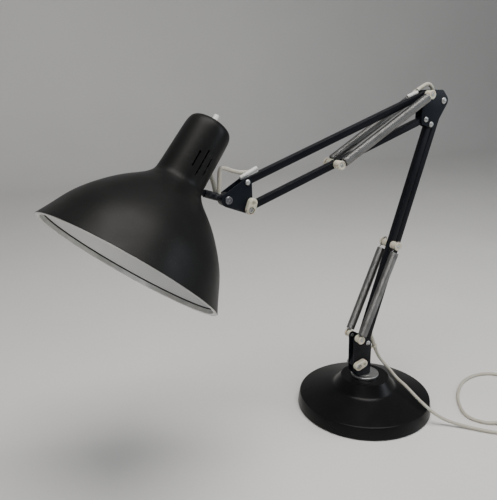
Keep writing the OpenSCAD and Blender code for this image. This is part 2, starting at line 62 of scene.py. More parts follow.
def joint_row(name):
    return next(j for j in frame["joints"] if j["name"] == name)


def joint_point(name):
    return Vector(joint_row(name)["pos_m"])


def joint_axis(name):
    return Vector(joint_row(name)["axis"]).normalized()


# pivots: K and P4 on the lower main bar, R1 and P2 on the stay bar, P1 and H1 on the upper top bar,
# P3 and H2 on the upper low bar; S and C hold the lower springs, P1 and D the upper ones
LOWER_DRAW_AT = 178
UPPER_DRAW_AT = 147


K = joint_point("lower_arm")
R1 = joint_point("lower_stay_pivot")
P4 = joint_point("elbow_level")
P3 = joint_point("upper_stay_pivot")
P1 = joint_point("upper_arm")
H1 = joint_point("head_level")
H3 = joint_point("head_tilt")
S = joint_point("lower_spring_front_pin")
LOWER = (P4 - K).normalized()
UPPER = (H1 - P1).normalized()
P2 = R1 + (P4 - K)
H2 = P3 + (H1 - P1)
C = K + LOWER_DRAW_AT * MM * LOWER
D = P3 + UPPER_DRAW_AT * MM * UPPER
STEM_ROOT = joint_point("shade_swivel")
STEM_DIR = joint_axis("shade_swivel")
SHADE_DIR = joint_axis("switch_press")
ACROSS = Vector((0, 1, 0))
UPWARDS = Vector((0, 0, 1))
# the stem's line meets the shade's axis this far, in millimetres, from the tilt bolt and from the neck's top
STEM_TO_AXIS = 64.3
TOP_TO_STEM = 85.3
NECK_TOP = STEM_ROOT + STEM_TO_AXIS * MM * STEM_DIR - TOP_TO_STEM * MM * SHADE_DIR
SHADE_FRONT = (SHADE_DIR * ACROSS.dot(SHADE_DIR) - ACROSS).normalized()
SHADE_TO_ARMS = SHADE_FRONT.cross(SHADE_DIR)
BAR_W = 8.5 * MM
PLATE_OUT = 6.5 * MM
PLATE_IN = 5.0 * MM
PLATE_T = 1.5 * MM
SPRING_Y = 14 * MM


# ---------------------------------------------------------------- camera

def make_camera():
    eye = Vector((-0.4869, -0.6112, 0.468))
    heading, pitch, roll = math.radians(26.22), math.radians(16.81), math.radians(-0.61)
    forward = Vector((math.sin(heading) * math.cos(pitch), math.cos(heading) * math.cos(pitch),
                      -math.sin(pitch)))
    level_right = Vector((math.cos(heading), -math.sin(heading), 0))
    level_up = level_right.cross(forward)
    right = level_right * math.cos(roll) + level_up * math.sin(roll)
    up = level_up * math.cos(roll) - level_right * math.sin(roll)
    data = bpy.data.cameras.new("camera")
    data.sensor_fit = "HORIZONTAL"
    data.sensor_width = 36
    data.lens = 42.5
    data.clip_start = 0.01
    data.clip_end = 20
    camera = bpy.data.objects.new("camera", data)
    bpy.context.scene.collection.objects.link(camera)
    turn = Matrix((right, up, -forward)).transposed().to_4x4()
    camera.matrix_world = Matrix.Translation(eye) @ turn
    bpy.context.scene.camera = camera


make_camera()


# ---------------------------------------------------------------- materials

class Nodes:
    """Small helper that adds nodes to one material."""

    def __init__(self, name, **principled):
        self.material = bpy.data.materials.new(name)
        self.material.use_nodes = True
        self.tree = self.material.node_tree
        self.shader = self.tree.nodes["Principled BSDF"]
        for socket, value in principled.items():
            self.shader.inputs[socket.replace("_", " ")].default_value = value

    def add(self, kind, inputs=(), **settings):
        node = self.tree.nodes.new(kind)
        for key, value in settings.items():
            setattr(node, key, value)
        for key, value in dict(inputs).items():
            if isinstance(value, bpy.types.NodeSocket):
                self.tree.links.new(value, node.inputs[key])
            else:
                node.inputs[key].default_value = value
        return node

    def place(self):
        return self.add("ShaderNodeTexCoord").outputs["Object"]

    def noise(self, scale, detail, vector=None):
        node = self.add("ShaderNodeTexNoise", {"Scale": scale, "Detail": detail, "Roughness": 0.55})
        self.tree.links.new(vector or self.place(), node.inputs["Vector"])
        return node.outputs["Fac"]

    def ramp(self, source, stops):
        node = self.add("ShaderNodeValToRGB", {"Fac": source})
        elements = node.color_ramp.elements
        for element, (at, value) in zip(elements, (stops[0], stops[-1])):
            element.position = at
            element.color = (*value, 1) if isinstance(value, tuple) else (value, value, value, 1)
        for at, value in stops[1:-1]:
            element = elements.new(at)
            element.color = (*value, 1) if isinstance(value, tuple) else (value, value, value, 1)
        return node.outputs["Color"]

    def blend(self, factor, a, b, mode="MIX"):
        node = self.add("ShaderNodeMix", data_type="RGBA", blend_type=mode)
        for socket, value in ((node.inputs[0], factor), (node.inputs[6], a), (node.inputs[7], b)):
            if isinstance(value, bpy.types.NodeSocket):
                self.tree.links.new(value, socket)
            elif isinstance(value, tuple):
                socket.default_value = (*value, 1)
            else:
                socket.default_value = value
        return node.outputs[2]

    def math(self, operation, a, b):
        node = self.add("ShaderNodeMath", {0: a, 1: b}, operation=operation)
        return node.outputs[0]

    def bump(self, height, strength, distance, normal=None):
        node = self.add("ShaderNodeBump", {"Height": height, "Strength": strength, "Distance": distance})
        if normal:
            self.tree.links.new(normal, node.inputs["Normal"])
        return node.outputs["Normal"]

    def to(self, socket, source):
        self.tree.links.new(source, self.shader.inputs[socket])

    def pointiness(self, stops):
        return self.ramp(self.add("ShaderNodeNewGeometry").outputs["Pointiness"], stops)

    def edge_wear(self):
        """1 on sharp outward edges, broken up by noise."""
        sharp = self.pointiness([(0.53, 0.0), (0.6, 1.0)])
        patches = self.ramp(self.noise(220, 5), [(0.48, 0.0), (0.6, 1.0)])
        return self.blend(1.0, sharp, patches, "MULTIPLY")


def satin_paint(name, colour, light, rough, dust=0.25):
    """Sprayed satin paint: fine orange peel, dull patches, specks of dust and faintly worn edges."""
    wear = 0.14
    n = Nodes(name, Specular_IOR_Level=0.14)
    patches = n.ramp(n.noise(14, 5), [(0.35, colour), (0.75, light)])
    specks = n.ramp(n.noise(900, 2), [(0.66, 0.0), (0.74, 1.0)])
    dusty = n.blend(n.math("MULTIPLY", specks, dust), patches, (0.12, 0.115, 0.11))
    n.to("Base Color", n.blend(n.math("MULTIPLY", n.edge_wear(), wear), dusty, (0.32, 0.32, 0.32)))
    n.to("Roughness", n.ramp(n.noise(30, 6), [(0.3, rough[0]), (0.7, rough[1])]))
    peel = n.bump(n.noise(700, 3), 0.18, 0.00008)
    n.to("Normal", n.bump(n.noise(60, 3), 0.1, 0.0002, peel))
    return n.material


def metal(name, colour, rough, grain=(1, 1, 1), tarnish=0.35):
    """Plated or bare metal: stretched grain, dull stains."""
    n = Nodes(name, Metallic=1.0)
    stretched = n.add("ShaderNodeMapping", {"Vector": n.place(), "Scale": grain}).outputs[0]
    streaks = n.noise(500, 4, vector=stretched)
    stains = n.ramp(n.noise(70, 5), [(0.4, 0.0), (0.7, 1.0)])
    dark = tuple(c * 0.45 for c in colour)
    n.to("Base Color", n.blend(n.math("MULTIPLY", stains, tarnish), colour, dark))
    n.to("Roughness", n.ramp(streaks, [(0.3, rough * 0.8), (0.7, min(1, rough * 1.5))]))
    n.to("Normal", n.bump(streaks, 0.15, 0.0001))
    return n.material


def plastic(name, colour, hollow_shade, rough, subsurface=0.05):
    """Moulded plastic: soft mottling, painted shade that darkens the hollows, faint moulding texture."""
    n = Nodes(name, Subsurface_Weight=subsurface, Subsurface_Scale=0.002)
    hollows = n.pointiness([(0.44, 1.0), (0.5, 0.0)])
    mottled = n.ramp(n.noise(60, 4), [(0.35, tuple(c * 0.9 for c in colour)), (0.7, colour)])
    # painted shade: hollow places darken towards the second colour given
    n.to("Base Color", n.blend(n.math("MULTIPLY", hollows, 0.7), mottled, hollow_shade))
    n.to("Roughness", n.ramp(n.noise(120, 3), [(0.3, rough * 0.8), (0.7, rough * 1.25)]))
    n.to("Normal", n.bump(n.noise(600, 2), 0.08, 0.0001))
    return n.material


def opal_glass():
    n = Nodes("opal_glass", Subsurface_Weight=0.6, Subsurface_Scale=0.01, Coat_Weight=1.0,
              Coat_Roughness=0.03)
    n.to("Base Color", n.ramp(n.noise(8, 2), [(0.3, (0.86, 0.86, 0.83)), (0.7, (0.93, 0.93, 0.9))]))
    n.to("Roughness", n.ramp(n.noise(40, 3), [(0.3, 0.12), (0.7, 0.22)]))
    return n.material


def floor_paint():
    n = Nodes("floor")
    n.to("Base Color", n.ramp(n.noise(1.5, 3), [(0.3, (0.74, 0.73, 0.71)), (0.7, (0.78, 0.77, 0.75))]))
    n.to("Roughness", n.ramp(n.noise(6, 3), [(0.3, 0.5), (0.7, 0.62)]))
    return n.material


SHADE_PAINT = satin_paint("shade_paint", (0.0055, 0.0055, 0.0055), (0.009, 0.009, 0.0088), (0.36, 0.46))
BASE_PAINT = satin_paint("base_paint", (0.004, 0.004, 0.0045), (0.007, 0.007, 0.0075), (0.26, 0.36), 0.2)
BAR_PAINT = satin_paint("bar_paint", (0.005, 0.0055, 0.008), (0.009, 0.010, 0.014), (0.3, 0.42))
PLATE_PAINT = satin_paint("plate_paint", (0.006, 0.008, 0.012), (0.011, 0.014, 0.020), (0.34, 0.46))
WHITE_ENAMEL = satin_paint("white_enamel", (0.66, 0.66, 0.65), (0.72, 0.72, 0.71), (0.45, 0.6), 0.1)
ZINC = metal("zinc", (0.5, 0.51, 0.5), 0.38)
DARK_STEEL = metal("dark_steel", (0.25, 0.25, 0.27), 0.4)
SPRING_STEEL = metal("spring_steel", (0.27, 0.27, 0.265), 0.34, tarnish=0.5)
RIM_METAL = metal("rim_metal", (0.66, 0.66, 0.64), 0.35, (1, 1, 8))
BRASS = metal("brass", (0.72, 0.55, 0.27), 0.3)
CAST_IRON = metal("cast_iron", (0.1, 0.1, 0.1), 0.7)
# each plastic's second colour is the painted shade in its hollows
CREAM = plastic("cream_plastic", (0.66, 0.62, 0.5), (0.2, 0.16, 0.1), 0.38, 0.1)
WHITE = plastic("white_plastic", (0.72, 0.72, 0.69), (0.3, 0.29, 0.26), 0.35)
CORD_SKIN = plastic("cord_skin", (0.52, 0.5, 0.42), (0.25, 0.22, 0.16), 0.45)
BAKELITE = plastic("bakelite", (0.02, 0.018, 0.017), (0.01, 0.01, 0.01), 0.25, 0.0)
RUBBER = plastic("rubber", (0.03, 0.03, 0.03), (0.015, 0.015, 0.015), 0.75, 0.0)
OPAL = opal_glass()


# ---------------------------------------------------------------- mesh tools

def new_object(name, mesh, material, smooth):
    obj = bpy.data.objects.new(name, mesh)
    bpy.context.scene.collection.objects.link(obj)
    if material:
        mesh.materials.append(material)
    if smooth:
        mesh.shade_smooth()
    return obj


def from_bmesh(name, bm, material, smooth=True):
    mesh = bpy.data.meshes.new(name)
    bmesh.ops.recalc_face_normals(bm, faces=bm.faces)
    bm.to_mesh(mesh)
    bm.free()
    return new_object(name, mesh, material, smooth)


def apply_modifiers(obj):
    bpy.context.view_layer.update()
    evaluated = obj.evaluated_get(bpy.context.evaluated_depsgraph_get())
    mesh = bpy.data.meshes.new_from_object(evaluated)
    obj.modifiers.clear()
    obj.data = mesh
    return obj


def bevel(obj, width, segments, angle=35):
    modifier = obj.modifiers.new("bevel", "BEVEL")
    modifier.width = width
    modifier.segments = segments
    modifier.limit_method = "ANGLE"
    modifier.angle_limit = math.radians(angle)
    modifier.harden_normals = False
    return apply_modifiers(obj)


def sharpen(obj, angle):
    """Keeps edges sharper than the angle crisp in a smooth mesh."""
    obj.data.set_sharp_from_angle(angle=math.radians(angle))
    return obj


def cut(obj, *tools):
    for tool in tools:
        modifier = obj.modifiers.new("cut", "BOOLEAN")
        modifier.operation = "DIFFERENCE"
        modifier.solver = "EXACT"
        modifier.object = tool
    apply_modifiers(obj)
    for tool in tools:
        bpy.data.objects.remove(tool)
    return obj


def join(name, parts):
    bm = bmesh.new()
    materials = []
    for part in parts:
        mesh = part.data
        mesh.transform(part.matrix_world)
        offset = len(bm.faces)
        bm.from_mesh(mesh)
        bm.faces.ensure_lookup_table()
        slots = []
        for material in mesh.materials:
            if material not in materials:
                materials.append(material)
            slots.append(materials.index(material))
        for face in bm.faces[offset:]:
            face.material_index = slots[min(face.material_index, len(slots) - 1)] if slots else 0
        bpy.data.objects.remove(part)
    mesh = bpy.data.meshes.new(name)
    bm.to_mesh(mesh)
    bm.free()
    for material in materials:
        mesh.materials.append(material)
    return new_object(name, mesh, None, False)


def axes_of(direction):
    """Two unit vectors square to the direction."""
    w = direction.normalized()
    u = w.orthogonal().normalized() if abs(w.y) > 0.9 else ACROSS.cross(w).normalized()
    return u, w.cross(u)


def lathe(name, profile, origin, direction, material, segments=48, smooth_angle=35):
    """Turns [distance along the axis, radius] points, in millimetres, around an axis."""
    u, v = axes_of(direction)
    w = direction.normalized()
    bm = bmesh.new()
    rings = []
    for along, radius in profile:
        centre = origin + w * along * MM
        if radius <= 1e-6:
            rings.append([bm.verts.new(centre)])
            continue
        rings.append([bm.verts.new(centre + (u * math.cos(a) + v * math.sin(a)) * radius * MM)
                      for a in (2 * math.pi * k / segments for k in range(segments))])
    for low, high in zip(rings, rings[1:]):
        for k in range(segments):
            m = (k + 1) % segments
            corners = [low[k % len(low)], low[m % len(low)], high[m % len(high)], high[k % len(high)]]
            unique = list(dict.fromkeys(corners))
            if len(unique) > 2:
                bm.faces.new(unique)
    if profile[0] == profile[-1]:
        bmesh.ops.remove_doubles(bm, verts=bm.verts, dist=1e-7)
    else:
        for ring in (rings[0], rings[-1]):
            if len(ring) > 2:
                bm.faces.new(ring)
    obj = from_bmesh(name, bm, material)
    return sharpen(obj, smooth_angle)


def smooth_path(points, steps):
    """Catmull-Rom curve through the points."""
    path = []
    for i in range(len(points) - 1):
        a, b, c, d = (points[min(max(j, 0), len(points) - 1)] for j in (i - 1, i, i + 1, i + 2))
        for k in range(steps):
            t = k / steps
            path.append(0.5 * ((2 * b) + (c - a) * t + (2 * a - 5 * b + 4 * c - d) * t * t
                               + (3 * b - a - 3 * c + d) * t ** 3))
    path.append(points[-1].copy())
    return path


def sweep(name, path, radius, material, sides):
    """Round tube along a path, radius in metres."""
    bm = bmesh.new()
    rings = []
    side = None
    for i, point in enumerate(path):
        tangent = (path[min(i + 1, len(path) - 1)] - path[max(i - 1, 0)]).normalized()
        side = tangent.orthogonal() if side is None else side - tangent * side.dot(tangent)
        side.normalize()
        other = tangent.cross(side)
        rings.append([bm.verts.new(point + (side * math.cos(a) + other * math.sin(a)) * radius)
                      for a in (2 * math.pi * k / sides for k in range(sides))])
    for low, high in zip(rings, rings[1:]):
        for k in range(sides):
            m = (k + 1) % sides
            bm.faces.new((low[k], low[m], high[m], high[k]))
    bm.faces.new(rings[0])
    bm.faces.new(rings[-1])
    return sharpen(from_bmesh(name, bm, material), 60)


def round_hull(rounds, steps=40):
    """Outline of the taut band around circles, given as [centre, radius] in the arms' plane."""
    samples = [(c.x + r * math.cos(a), c.z + r * math.sin(a))
               for c, r in rounds for a in (2 * math.pi * k / steps for k in range(steps))]
    samples = sorted(set((round(x, 7), round(z, 7)) for x, z in samples))

    def chain(points):
        out = []
        for p in points:
            while len(out) > 1 and ((out[-1][0] - out[-2][0]) * (p[1] - out[-2][1])
                                    - (out[-1][1] - out[-2][1]) * (p[0] - out[-2][0])) <= 1e-12:
                out.pop()
            out.append(p)
        return out[:-1]

    return chain(samples) + chain(samples[::-1])


def slab(name, outline, y0, y1, material, edge=0.0003, segments=2):
    """Flat piece with an outline in the arms' plane, from y0 to y1, with rounded edges."""
    bm = bmesh.new()
    near = [bm.verts.new((x, y0, z)) for x, z in outline]
    far = [bm.verts.new((x, y1, z)) for x, z in outline]
    bm.faces.new(near)
    bm.faces.new(far[::-1])
    for k in range(len(outline)):
        m = (k + 1) % len(outline)
        bm.faces.new((near[k], near[m], far[m], far[k]))
    obj = from_bmesh(name, bm, material)
    return sharpen(bevel(obj, edge, segments), 30)


def block(name, low, high, material, edge=0.0003, segments=2):
    bm = bmesh.new()
    bmesh.ops.create_cube(bm, size=1)
    for vert in bm.verts:
        vert.co = Vector([(low[i] + high[i]) / 2 + vert.co[i] * (high[i] - low[i]) for i in range(3)])
    return sharpen(bevel(from_bmesh(name, bm, material), edge, segments), 30)


def cross_pin(name, centre, profile, material, side=1, segments=32):
    """Turned piece across the arms: profile in [distance from the arms' plane, radius]."""
    return lathe(name, profile, Vector((centre.x, 0, centre.z)), ACROSS * side, material, segments)


def settle(obj, body, *nodes, slot):
    """Puts the piece on its body, in the place of the CAD nodes; the slot argument is not used."""
    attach(obj, body)
    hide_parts(*nodes)
    return obj


# ---------------------------------------------------------------- mains cord

CORD_R = 2.3 * MM
# from the strain relief's end, down the bracket and the base, and over the table to the coil
CORD_ROUTE = [Vector(p) * MM for p in (
    (18, 0, 82), (22.5, 0, 73), (27.5, -1, 65), (33, -4, 57.5), (38, -9, 50), (41.5, -16, 43),
    (42.5, -24, 39.5), (42.5, -33, 38.2), (42.5, -43, 36.3), (43, -54, 32.8), (43.5, -65, 29.4),
    (44.5, -75, 26.3), (47, -84, 22.4), (52.3, -90, 17.3), (58.8, -94.8, 12.2), (66.2, -100.6, 8.2),
    (75, -108.6, 5.2), (87, -120.4, 3.1), (102, -137, 2.4), (122, -153, 2.4), (153, -155, 2.4),
    (187, -137, 2.4), (218, -104, 2.4), (239, -67, 2.4), (239, -35, 2.4), (214, -20, 2.4),
    (177, -24, 2.4), (139, -48, 2.4), (113, -80, 2.4), (106, -101, 2.4), (113, -118, 2.4),
    (122, -126, 2.4), (134, -133, 4), (146, -141, 6.4), (157, -151, 7.1), (167, -162, 5.8),
    (173, -172, 3.4), (176.2, -178, 2.4))]
COIL_CENTRE = Vector((208, -173, 0)) * MM
COIL_ENTRY = math.radians(199.9)
COIL_EXIT = math.radians(311.4)
# radius and height of each turn, in millimetres, from the bottom outside turn to the top one
COIL_TURNS = ((31.6, 2.4), (27, 2.4), (22.4, 2.4), (22.4, 7), (27, 7), (31.6, 7), (31.6, 11.6))
OUTER_R, PLUG_Z = (size * MM for size in COIL_TURNS[-1])
PLUG_FACE = 36 * MM


def coil_path():
    """The wound part: each turn keeps its radius and height and steps to the next over its last fifth."""
    per_turn = 36
    whole = len(COIL_TURNS) - 1
    total = whole * per_turn + round(per_turn * (COIL_EXIT - COIL_ENTRY) / (2 * math.pi))
    path = []
    for i in range(1, total + 1):
        turn, share = divmod(i / per_turn, 1)
        now = COIL_TURNS[int(turn)]
        after = COIL_TURNS[min(int(turn) + 1, whole)]
        step = max(0.0, (share - 0.8) / 0.2)
        step = step * step * (3 - 2 * step) if turn < whole else 0
        radius = (now[0] + (after[0] - now[0]) * step) * MM
        height = (now[1] + (after[1] - now[1]) * step) * MM
        angle = COIL_ENTRY + 2 * math.pi * i / per_turn
        path.append(COIL_CENTRE + Vector((radius * math.cos(angle), radius * math.sin(angle), height)))
    return path


LEAVE_DIR = Vector((-math.sin(COIL_EXIT), math.cos(COIL_EXIT), 0))
LEAVE_POINT = (COIL_CENTRE + OUTER_R * Vector((math.cos(COIL_EXIT), math.sin(COIL_EXIT), 0))
               + Vector((0, 0, PLUG_Z)))


def build_cord():
    """The whole mains lead as one curve, and its length."""
    coil = coil_path()
    tail = [LEAVE_POINT + LEAVE_DIR * PLUG_FACE * share for share in (0.25, 0.5, 0.75, 1.0)]
    path = smooth_path(CORD_ROUTE + coil[:1], 4) + coil[1:] + tail
    data = bpy.data.curves.new("mains_flex", "CURVE")
    data.dimensions = "3D"
    data.bevel_depth = CORD_R
    data.bevel_resolution = 4
    data.use_fill_caps = True
    spline = data.splines.new("POLY")
    spline.points.add(len(path) - 1)
    for point, place in zip(spline.points, path):
        point.co = (*place, 1)
    data.materials.append(CORD_SKIN)
    cord = bpy.data.objects.new("mains_flex", data)
    bpy.context.scene.collection.objects.link(cord)
    settle(cord, "lower_bracket", "mains_cord", "cord_coil", slot="cord_pvc")
    return cord, sum((b - a).length for a, b in zip(path, path[1:]))


cord, cord_length = build_cord()


# ---------------------------------------------------------------- stage

def build_stage():
    """Pale floor that curves up into a plain backdrop behind the lamp."""
    front, depth, reach, bend, height = -3.0, 1.9, 4.0, 0.5, 3.2
    quarter = [math.radians(9 * k) for k in range(11)]
    curve = [(depth + bend * math.sin(a), bend - bend * math.cos(a)) for a in quarter]
    profile = [(front, 0.0)] + curve + [(depth + bend, height)]
    bm = bmesh.new()
    rows = [[bm.verts.new((x, y, z)) for x in (-reach, reach)] for y, z in profile]
    for low, high in zip(rows, rows[1:]):
        bm.faces.new((low[0], low[1], high[1], high[0]))
    floor = from_bmesh("floor", bm, floor_paint())


def area_light(name, place, aim, size, power, colour):
    data = bpy.data.lights.new(name, "AREA")
    data.shape = "RECTANGLE"
    data.size, data.size_y = size
    data.energy = power
    data.color = colour
    light = bpy.data.objects.new(name, data)
    light.location = place
    light.rotation_euler = (Vector(aim) - Vector(place)).to_track_quat("-Z", "Y").to_euler()
    bpy.context.scene.collection.objects.link(light)


def build_lights():
    world = bpy.data.worlds.new("studio")
    world.use_nodes = True
    world.node_tree.nodes["Background"].inputs["Color"].default_value = (0.82, 0.84, 0.88, 1)
    world.node_tree.nodes["Background"].inputs["Strength"].default_value = 0.25
    bpy.context.scene.world = world
    area_light("overhead", (-0.1, -0.3, 1.6), (0, 0, 0.1), (1.3, 0.9), 27, (1, 0.97, 0.93))
    area_light("side", (1.4, -0.9, 0.9), (0, 0, 0.2), (0.5, 1.0), 8, (0.85, 0.92, 1))
    area_light("front", (-1.2, -1.3, 0.8), (-0.1, 0, 0.2), (0.7, 0.9), 3.5, (0.95, 0.97, 1))


build_stage()
build_lights()


# ---------------------------------------------------------------- base and lower bracket

def build_base():
    rim = [(1.0, 93.6), (1.0, 95.0), (1.5, 95.5), (3.0, 95.45), (17.2, 93.3), (18.3, 92.8), (18.8, 91.9),
           (19.05, 91)]
    slope = [(20.0, 87.5), (25.3, 68.0), (30.4, 49.0), (31.3, 46.4), (32.4, 44.6), (33.8, 43.2)]
    hub = [(45.6, 34.7), (46.5, 34.1), (46.9, 33.1), (46.9, 32.5), (46.9, 31.5), (46.9, 9.0)]
    inside = [(45.4, 9.0), (45.4, 32.4), (33.0, 42.0), (30.2, 44.6), (17.4, 91.3), (1.0, 93.6)]
    cover = lathe("base_shell", rim + slope + hub + inside, Vector(), UPWARDS, BASE_PAINT, 128, 25)
    settle(cover, "base", "base_cover", slot="black_paint")
    ring = [(47.1, 4.5), (47.1, 19.0), (47.5, 19.6), (48.2, 19.8), (50.0, 19.8), (50.6, 19.5), (50.9, 18.9),
            (50.9, 12.2), (50.75, 12.0), (50.75, 11.6), (50.9, 11.4), (50.9, 4.5), (47.1, 4.5)]
    washer = lathe("washer_ring", ring, Vector(), UPWARDS, ZINC, 96, 25)
    settle(washer, "base", "base_washer", slot="zinc")


def build_lower_bracket():
    floor_z = 51.2 * MM
    right = R1.x + 6.5 * MM
    corner = 2 * MM
    outline = round_hull([(S, 5.3 * MM), (R1, 5.8 * MM), (plane(-23.3, 60.2), corner),
                          (plane(-16, 53.2), corner), (Vector((right - corner, 0, 53.2 * MM)), corner)])
    plates = [slab("plate", outline, y, y + PLATE_T, BAR_PAINT) for y in (-PLATE_OUT, PLATE_IN)]
    webs = [block("web", (-0.017, -PLATE_OUT + 0.0004, floor_z),
                  (right - 0.001, PLATE_OUT - 0.0004, floor_z + PLATE_T), BAR_PAINT, 0.0004),
            block("web", (right - PLATE_T, -PLATE_OUT, floor_z + 1 * MM),
                  (right, PLATE_OUT, floor_z + 41 * MM), BAR_PAINT, 0.0006)]
    settle(join("bracket_channel", plates + webs), "lower_bracket", "lower_bracket", slot="black_paint")


def socket_bolt(name, at, body, node):
    """Bolt across the bracket: socket head in front, hexagon nut and thread end behind."""
    reach, head_r = 13.6, 3.2
    front = cross_pin(name, at, [(0, 2.5), (reach - 1.6, 2.5), (reach - 1.6, head_r), (reach - 0.3, head_r),
                                 (reach, head_r - 0.3), (reach, 1.7), (reach - 1.3, 1.5), (reach - 1.3, 0)],
                      ZINC, -1)
    back = cross_pin(name, at, [(0, 2.5), (10.4, 2.5), (10.7, 2.1), (10.7, 0)], ZINC)
    nut = cross_pin(name, at, [(6.5, 2.4), (6.5, 4.3), (6.8, 4.6), (9.7, 4.6), (10.1, 4.3), (10.1, 2.4)],
                    ZINC, 1, 6)
    settle(join(name, [front, back, nut]), body, node, slot="zinc")


def clamp_lever(name, at, angle, swing, body, node):
    """Moulded lever with a screw recess and a shallow finger recess."""
    turn = math.radians(angle)
    far = at + Vector((math.cos(turn), 0, math.sin(turn))) * swing * MM
    near_face, far_face = -6.8 * MM, -14.3 * MM
    body_part = slab(name, round_hull([(at, 5.7 * MM), (far, 5.4 * MM)], 48), far_face, near_face, CREAM,
                     0.0012, 4)
    recess = cross_pin("tool", at, [(12.2, 0), (12.2, 4.1), (20, 4.3), (20, 0)], CREAM, -1)
    dish = cross_pin("tool", far, [(14.0, 0), (14.0, 2.2), (14.5, 2.7), (20, 2.7), (20, 0)], CREAM, -1)
    lever = sharpen(cut(body_part, recess, dish), 40)
    settle(lever, body, node, slot="cream_plastic")


def rivet(name, at, head_r, reach, body, node, hollow=False):
    """Round-headed rivet through both plates."""
    dome = [(6.5, head_r), (6.9, head_r), (7.5, head_r * 0.9), (8.1, head_r * 0.66), (reach, head_r * 0.3)]
    tip = [(reach - 0.7, head_r * 0.28), (reach - 0.7, 0)] if hollow else [(reach + 0.02, 0)]
    halves = [cross_pin(name, at, [(0, 2.0), (6.5, 2.0)] + dome + tip, ZINC, side) for side in (-1, 1)]
    settle(join(name, halves), body, node, slot="zinc")


def bushes(name, at, first_face, body, node):
    """Cream spacers inside the spring hooks and flanged caps outside them."""
    inner_end, cap = 13.1, 14.9
    parts = []
    for side in (-1, 1):
        parts.append(cross_pin(name, at, [
            (first_face, 2.2), (first_face, 4.9), (first_face + 0.4, 5.3), (inner_end - 1.6, 5.3),
            (inner_end - 1.2, 4.7), (inner_end - 0.4, 4.7), (inner_end, 4.4), (inner_end, 2.2),
            (first_face, 2.2)], CREAM, side))
        parts.append(cross_pin(name, at, [
            (cap, 2.2), (cap, 5.4), (cap + 0.4, 5.8), (cap + 1.4, 5.8), (cap + 2, 5.2), (cap + 2, 3.9),
            (cap + 1.5, 3.3), (cap + 1.5, 2.2), (cap, 2.2)], CREAM, side))
    settle(join(name, parts), body, node, slot="cream_plastic")


def stud_pin(name, at, body, node):
    """Steel pin that carries the spring hooks, with peened ends."""
    profile = [(0, 2.15), (16.6, 2.15), (16.95, 1.8), (17.0, 0.9), (16.8, 0)]
    halves = [cross_pin(name, at, profile, ZINC, side) for side in (-1, 1)]
    settle(join(name, halves), body, node, slot="zinc")


def build_lower_fittings():
    socket_bolt("base_bolt", K, "lower_bracket", "base_clamp_bolt")
    clamp_lever("base_lever_moulding", K, 18, 9.5, "base_lever", "base_clamp_lever")
    rivet("stay_rivet", R1, 3.6, 8.6, "lower_bracket", "lower_stay_rivet")
    halves = []
    for side in (-1, 1):
        halves.append(cross_pin("stud", S, [
            (4.65, 0), (4.65, 2.2), (4.9, 2.6), (5.0, 2.6), (5.0, 1.6), (6.5, 1.6), (6.5, 2.2), (16.6, 2.2),
            (16.95, 1.8), (17.0, 0.9), (16.8, 0)], ZINC, side))
    settle(join("spring_studs", halves), "lower_bracket", "lower_studs", slot="zinc")
    bushes("stud_bushes", S, 6.6, "lower_bracket", "lower_stud_bushes")
    stud_pin("lower_draw_pin", C, "lower_main", "lower_cross_pin")
    bushes("lower_draw_bushes", C, 4.3, "lower_main", "lower_cross_bushes")


# ---------------------------------------------------------------- arms

def square_tube(name, a, b, body, node, *cuts):
    """Painted square tube with softened long edges and open, rounded ends."""
    half = BAR_W / 2
    tube = slab(name, round_hull([(a, half), (b, half)], 32), -half, half, BAR_PAINT, 0.0007, 3)
    run = b - a
    bm = bmesh.new()
    bmesh.ops.create_cube(bm, size=1)
    wall = 0.8 * MM
    inner = BAR_W - 2 * wall
    bmesh.ops.scale(bm, vec=(inner, inner, run.length + 3 * BAR_W), verts=bm.verts)
    tool = from_bmesh("tool", bm, BAR_PAINT, False)
    tool.matrix_world = (Matrix.Translation((a + b) / 2)
                         @ Matrix.Rotation(math.atan2(run.x, run.z), 4, "Y"))
    settle(sharpen(cut(tube, tool, *cuts), 30), body, node, slot="black_paint")


def coil_spring(name, a, b, y, far_reach=6.4, slack=(0, 0)):
    """Close-wound tension spring of real wire, with a hook around each pin and slack in the far one."""
    run = b - a
    along, across = run.normalized(), ACROSS.cross(run.normalized())
    wire, pitch, radius, reach, hook = 0.6, 1.22, 5.4, 6.4, 2.9
    length = run.length / MM
    turns = round((length - reach - far_reach) / pitch)
    steps = 14
    path = []

    def add(centre, forward, z, x, depth=0.0):
        path.append(centre + (forward * z + across * x + ACROSS * depth) * MM + ACROSS * y)

    for k in range(13):
        turn = math.radians(50 + 20 * k)
        add(a, along, hook * math.cos(turn), hook * math.sin(turn))
    add(a, along, 3.9, -3.6)
    for k in range(turns * steps + 1):
        turn = 2 * math.pi * k / steps
        z = reach + (length - reach - far_reach) * k / (turns * steps)
        add(a, along, z, -radius * math.cos(turn), radius * math.sin(turn))
    add(b, -along, far_reach - 2.5, -3.6)
    add(b, -along, slack[1] + 1, -hook)
    for k in range(10):
        turn = math.radians(270 - 20 * k)
        inward = slack[1] if math.cos(turn) > 0 else -slack[0]
        add(b, -along, hook * math.cos(turn) + inward, hook * math.sin(turn))
    add(b, -along, slack[1], hook)
    for k in range(3):
        turn = math.radians(80 - 20 * k)
        add(b, -along, hook * math.cos(turn) + slack[1], hook * math.sin(turn))
    return sweep(name, path, wire * MM, SPRING_STEEL, 6)


def build_springs():
    for side, y in (("front", -SPRING_Y), ("back", SPRING_Y)):
        lower = coil_spring(f"lower_coil_{side}", S, C, y, 9.5, (4, 3))
        settle(lower, f"lower_spring_{side}", f"lower_spring_{side}", slot="spring_steel")
        upper = coil_spring(f"upper_coil_{side}", P1, D, y)
        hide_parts(f"upper_spring_{side}", f"upper_hook_{side}")
        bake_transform(upper)


